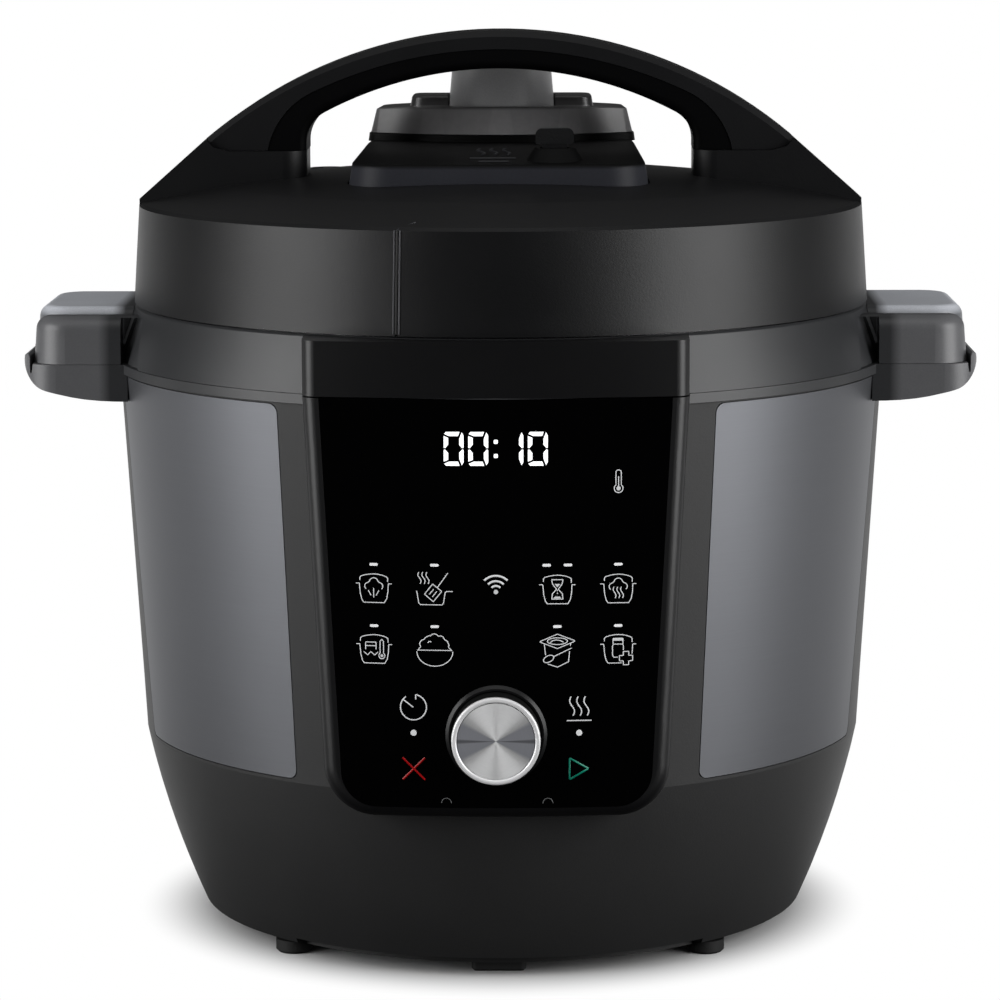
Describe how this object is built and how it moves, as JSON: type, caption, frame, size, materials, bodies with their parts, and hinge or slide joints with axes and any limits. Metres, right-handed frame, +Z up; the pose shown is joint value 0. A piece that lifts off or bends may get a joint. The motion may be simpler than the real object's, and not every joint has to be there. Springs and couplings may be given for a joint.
{
  "type": "electric pressure cooker",
  "caption": "Round electric pressure cooker with a locking lid, arched carrying handle, side handles, dark steel sides and a front touch panel with a turning dial",
  "frame": {"origin": "on the floor under the pot axis, at the middle of the cooker", "axes": "+Z up, the control panel faces -Y, the handles point along X"},
  "size_m": [0.3284, 0.2902, 0.3105],
  "materials": {
    "dark_plastic": "fine grained dark grey plastic",
    "lid_plastic": "fine grained black plastic",
    "rim_plastic": "satin dark grey plastic",
    "pad_plastic": "satin mid grey plastic",
    "black_steel": "dark brushed stainless steel, lines run round the body",
    "gloss_black": "high gloss black",
    "panel_glass": "high gloss black touch panel",
    "bright_trim": "polished bright trim",
    "dial_alu": "spun aluminium",
    "smoke_cover": "smoky translucent plastic",
    "steel": "stainless steel",
    "heater_alu": "cast aluminium",
    "silicone": "translucent silicone",
    "foot_rubber": "black rubber",
    "zinc": "zinc plated",
    "board": "circuit board",
    "pin_brass": "plain brass"
  },
  "bodies": {
    "base": {"base_housing": "dark_plastic", "left_panel": "black_steel", "right_panel": "black_steel", "rear_panel": "black_steel", "bottom_plate": "dark_plastic", "feet": "foot_rubber", "bottom_screws": "zinc", "lower_rim": "rim_plastic", "upper_rim": "rim_plastic", "left_handle_pad": "pad_plastic", "right_handle_pad": "pad_plastic", "rim_screws": "zinc", "header_strip": "gloss_black", "control_bezel": "gloss_black", "control_glass": "panel_glass", "control_board": "board", "board_screws": "zinc", "display_module": "dark_plastic", "encoder": "zinc", "dial_seat": "gloss_black", "heater_pot": "steel", "heating_plate": "heater_alu", "sensor_seat": "steel", "sensor_spring": "steel", "pressure_switch": "dark_plastic", "pot_spacers": "zinc", "power_board": "board", "power_inlet": "dark_plastic", "inlet_pins": "pin_brass"},
    "dial_shaft": {"encoder_shaft": "zinc"},
    "dial": {"dial_hub": "dark_plastic", "dial_face": "dial_alu", "dial_trim": "bright_trim"},
    "sensor": {"temperature_sensor": "heater_alu"},
    "cup": {"condensation_cup": "smoke_cover"},
    "pot": {"inner_pot": "steel"},
    "seal": {"sealing_ring": "silicone"},
    "lid": {"lid_cover": "lid_plastic", "steel_lid": "steel", "lid_screws": "zinc", "ring_rack": "steel", "vent_pipe": "steel", "pipe_nut": "steel", "steam_shield": "steel", "valve_console": "lid_plastic", "switch_pin": "steel", "arch_cover": "lid_plastic", "arch_grip": "lid_plastic", "handle_screws": "zinc"},
    "float_valve": {"float_pin": "steel", "float_seal": "silicone"},
    "switch": {"release_switch": "lid_plastic"},
    "link": {"release_link": "dark_plastic"},
    "weight": {"steam_weight": "dark_plastic"},
    "vent_cover": {"steam_cover": "smoke_cover", "steam_chimney": "rim_plastic"}
  },
  "joints": [
    {"name": "pot_lift", "type": "slide", "parent": "base", "child": "pot", "axis": [0, 0, 1], "range_m": [0, 0.18]},
    {"name": "lid_lift", "type": "slide", "parent": "pot", "child": "seal", "axis": [0, 0, 1], "range_m": [0, 0.15]},
    {"name": "lid_turn", "type": "hinge", "parent": "seal", "child": "lid", "pos_m": [0, 0, 0.22], "axis": [0, 0, 1], "range_deg": [-22.5, 0]},
    {"name": "float_rise", "type": "slide", "parent": "lid", "child": "float_valve", "axis": [0, 0, 1], "range_m": [0, 0.0045]},
    {"name": "release_tip", "type": "hinge", "parent": "lid", "child": "switch", "pos_m": [0.019, -0.042, 0.2659], "axis": [-1, 0, 0], "range_deg": [0, 18]},
    {"name": "link_slide", "type": "slide", "parent": "lid", "child": "link", "axis": [0, -1, 0], "range_m": [0, 0.0023]},
    {"name": "weight_rise", "type": "slide", "parent": "lid", "child": "weight", "axis": [0, 0, 1], "range_m": [0, 0.0011]},
    {"name": "steam_cover_lift", "type": "slide", "parent": "lid", "child": "vent_cover", "axis": [0, 0, 1], "range_m": [0, 0.05]},
    {"name": "dial_turn", "type": "hinge", "parent": "base", "child": "dial_shaft", "pos_m": [0, -0.1346, 0.0892], "axis": [0, -1, 0], "continuous": true},
    {"name": "dial_push", "type": "slide", "parent": "dial_shaft", "child": "dial", "axis": [0, 1, 0], "range_m": [0, 0.001], "stiffness_N_per_m": 400},
    {"name": "cup_pull", "type": "slide", "parent": "base", "child": "cup", "axis": [0, 1, 0], "range_m": [0, 0.04]},
    {"name": "sensor_press", "type": "slide", "parent": "base", "child": "sensor", "axis": [0, 0, -1], "range_m": [0, 0.0015], "stiffness_N_per_m": 600, "deforming": ["sensor_spring"]}
  ],
  "couplings": [
    {"joint": "link_slide", "follows": "weight_rise", "ratio": 2},
    {"joint": "release_tip", "follows": "weight_rise", "rad_per_m": 277.78}
  ]
}
